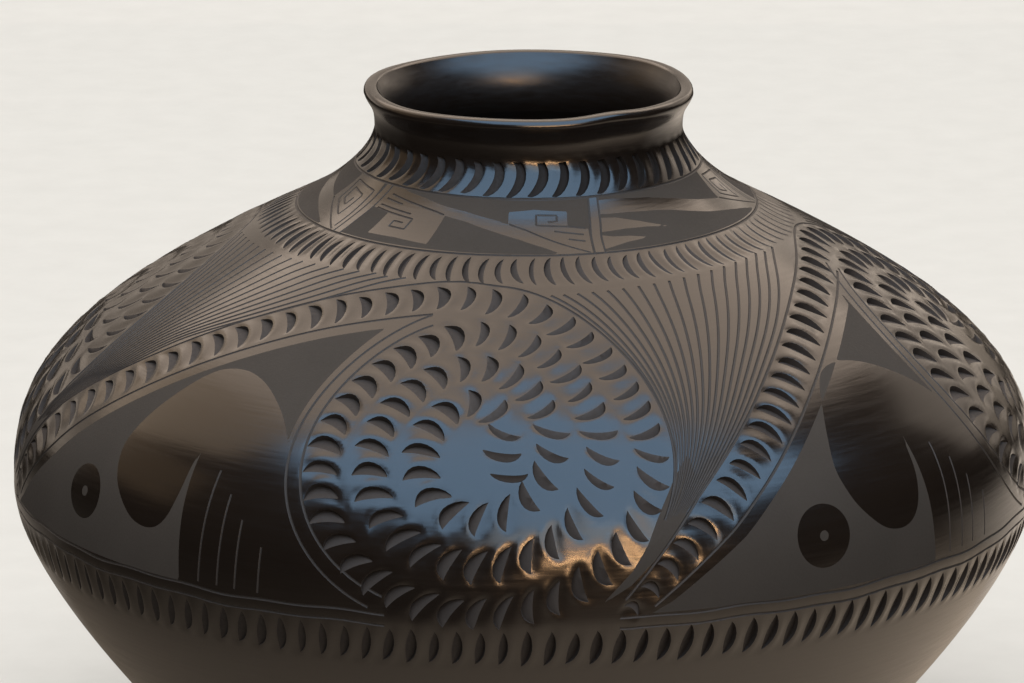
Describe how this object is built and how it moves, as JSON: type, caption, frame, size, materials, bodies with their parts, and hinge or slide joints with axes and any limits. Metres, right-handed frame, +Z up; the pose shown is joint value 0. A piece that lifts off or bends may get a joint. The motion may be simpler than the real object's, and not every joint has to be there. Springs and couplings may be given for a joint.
{
  "type": "coil-built olla",
  "caption": "Wide-bellied coil-built blackware jar with a short flared neck, a rounded lip and a flat foot, for holding water or dry food and for display.",
  "frame": {"origin": "middle of the foot's flat face, on the surface that the olla stands on", "axes": "+Z up the vessel's axis to the mouth, -Y towards the pictured side"},
  "size_m": [0.3, 0.3, 0.232],
  "materials": {
    "burnished_blackware": "stone-burnished, smoke-blackened earthenware with matte carved ornament",
    "smoked_foot": "smoke-blackened earthenware, burnished on the wall and dull under the foot"
  },
  "bodies": {
    "root": {"base_slab": "smoked_foot", "wall_coil_1": "burnished_blackware", "wall_coil_2": "burnished_blackware", "wall_coil_3": "burnished_blackware", "wall_coil_4": "burnished_blackware", "wall_coil_5": "burnished_blackware", "wall_coil_6": "burnished_blackware", "neck_coil": "burnished_blackware", "lip_coil": "burnished_blackware"}
  },
  "joints": []
}
